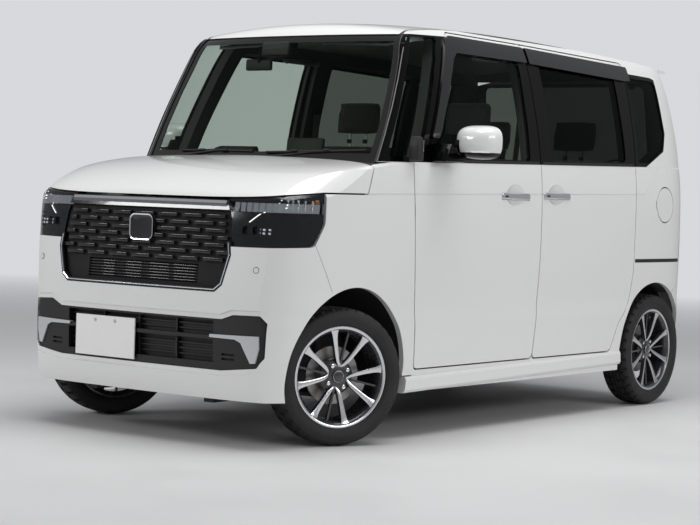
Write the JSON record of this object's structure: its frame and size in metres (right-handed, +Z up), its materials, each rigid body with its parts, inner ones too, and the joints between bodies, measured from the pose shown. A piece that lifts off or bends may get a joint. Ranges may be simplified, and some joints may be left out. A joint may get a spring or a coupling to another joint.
{
  "type": "kei car",
  "caption": "Tall box-shaped kei car with opening front doors, bonnet, tailgate and fuel lid, steered front wheels and turning wheels.",
  "frame": {"origin": "on the ground, under the middle of the overall length and width", "axes": "+X to the front of the car, +Y to its left, +Z up"},
  "size_m": [3.3957, 1.924, 1.7902],
  "materials": {
    "alloy": "satin",
    "black_plastic": "satin",
    "body_paint": "gloss",
    "cast_iron": "rough",
    "chrome": "gloss",
    "clear_glass": "gloss",
    "cloth": "matt",
    "dark_paint": "matt",
    "gloss_black": "gloss",
    "lamp_clear": "gloss",
    "lamp_red": "gloss",
    "plate_white": "gloss",
    "privacy_glass": "gloss",
    "silver_plastic": "satin",
    "smoke_plastic": "gloss",
    "steel": "satin",
    "tyre": "matt"
  },
  "bodies": {
    "body": {"bench_rear": "cloth", "bulkhead": "black_plastic", "bumper_front": "body_paint", "bumper_rear": "body_paint", "dash": "black_plastic", "door_slides": "body_paint", "engine": "cast_iron", "exhaust": "steel", "floor": "dark_paint", "fuel_tank": "black_plastic", "glass_front": "clear_glass", "glass_rear_sides": "privacy_glass", "grille": "gloss_black", "grille_brightwork": "chrome", "handles_slide": "chrome", "headlamps": "gloss_black", "intake": "black_plastic", "intake_blades": "silver_plastic", "lamp_lenses": "lamp_clear", "plate_front": "plate_white", "rails": "black_plastic", "rear_axle": "cast_iron", "roof": "body_paint", "seats_front": "cloth", "side_left": "body_paint", "side_right": "body_paint", "subframe": "black_plastic", "tail_lamps": "lamp_red", "visors_slide": "smoke_plastic", "wheelhouses": "black_plastic", "wings": "body_paint"},
    "door_left": {"door_front_left": "body_paint", "glass_door_left": "clear_glass", "handle_left": "chrome", "mirror_left": "body_paint", "visor_left": "smoke_plastic"},
    "door_right": {"door_front_right": "body_paint", "glass_door_right": "clear_glass", "handle_right": "chrome", "mirror_right": "body_paint", "visor_right": "smoke_plastic"},
    "bonnet": {"bonnet": "body_paint"},
    "tailgate": {"glass_tailgate": "privacy_glass", "plate_rear": "plate_white", "tailgate": "body_paint"},
    "fuel_lid": {"fuel_lid": "body_paint"},
    "steering_wheel": {"steering_wheel": "black_plastic"},
    "knuckle_left": {"knuckle_left": "cast_iron"},
    "knuckle_right": {"knuckle_right": "cast_iron"},
    "wheel_front_left": {"tyre_front_left": "tyre", "rim_front_left": "alloy"},
    "wheel_front_right": {"tyre_front_right": "tyre", "rim_front_right": "alloy"},
    "wheel_rear_left": {"tyre_rear_left": "tyre", "rim_rear_left": "alloy"},
    "wheel_rear_right": {"tyre_rear_right": "tyre", "rim_rear_right": "alloy"}
  },
  "joints": [
    {"name": "door_left", "type": "hinge", "parent": "body", "child": "door_left", "pos_m": [0.77785, 0.7295, 0.7], "axis": [-0.0544, 0, -0.9985], "range_deg": [0, 68]},
    {"name": "door_right", "type": "hinge", "parent": "body", "child": "door_right", "pos_m": [0.77785, -0.7295, 0.7], "axis": [0.0544, 0, 0.9985], "range_deg": [0, 68]},
    {"name": "bonnet", "type": "hinge", "parent": "body", "child": "bonnet", "pos_m": [1.084, 0, 1.122], "axis": [0, -1, 0], "range_deg": [0, 55]},
    {"name": "tailgate", "type": "hinge", "parent": "body", "child": "tailgate", "pos_m": [-1.497, 0, 1.738], "axis": [0, 1, 0], "range_deg": [0, 84]},
    {"name": "fuel_lid", "type": "hinge", "parent": "body", "child": "fuel_lid", "pos_m": [-1.306, 0.734, 1.011], "axis": [0, 0, -1], "range_deg": [0, 95]},
    {"name": "steer_left", "type": "hinge", "parent": "body", "child": "knuckle_left", "pos_m": [1.1875, 0.585, 0.28051], "axis": [0, -0.1822, 0.9833], "range_deg": [-8, 58]},
    {"name": "spin_front_left", "type": "hinge", "parent": "knuckle_left", "child": "wheel_front_left", "pos_m": [1.21555, 0.64639, 0.27937], "axis": [0.4155, 0.9094, -0.0168], "continuous": true},
    {"name": "steer_right", "type": "hinge", "parent": "body", "child": "knuckle_right", "pos_m": [1.1875, -0.585, 0.28051], "axis": [0, 0.1822, 0.9833], "range_deg": [-8, 58]},
    {"name": "spin_front_right", "type": "hinge", "parent": "knuckle_right", "child": "wheel_front_right", "pos_m": [1.15945, -0.64639, 0.27937], "axis": [0.4155, 0.9094, 0.0168], "continuous": true},
    {"name": "spin_rear_left", "type": "hinge", "parent": "body", "child": "wheel_rear_left", "pos_m": [-1.3325, 0.6525, 0.2785], "axis": [0, 1, 0], "continuous": true},
    {"name": "spin_rear_right", "type": "hinge", "parent": "body", "child": "wheel_rear_right", "pos_m": [-1.3325, -0.6525, 0.2785], "axis": [0, 1, 0], "continuous": true},
    {"name": "steering_wheel", "type": "hinge", "parent": "body", "child": "steering_wheel", "pos_m": [0.47, -0.33, 0.955], "axis": [-0.9135, 0, 0.4067], "range_deg": [-128, 928]}
  ],
  "couplings": [
    {"joint": "steer_right", "follows": "steer_left", "ratio": 1},
    {"joint": "steering_wheel", "follows": "steer_left", "ratio": 16}
  ]
}
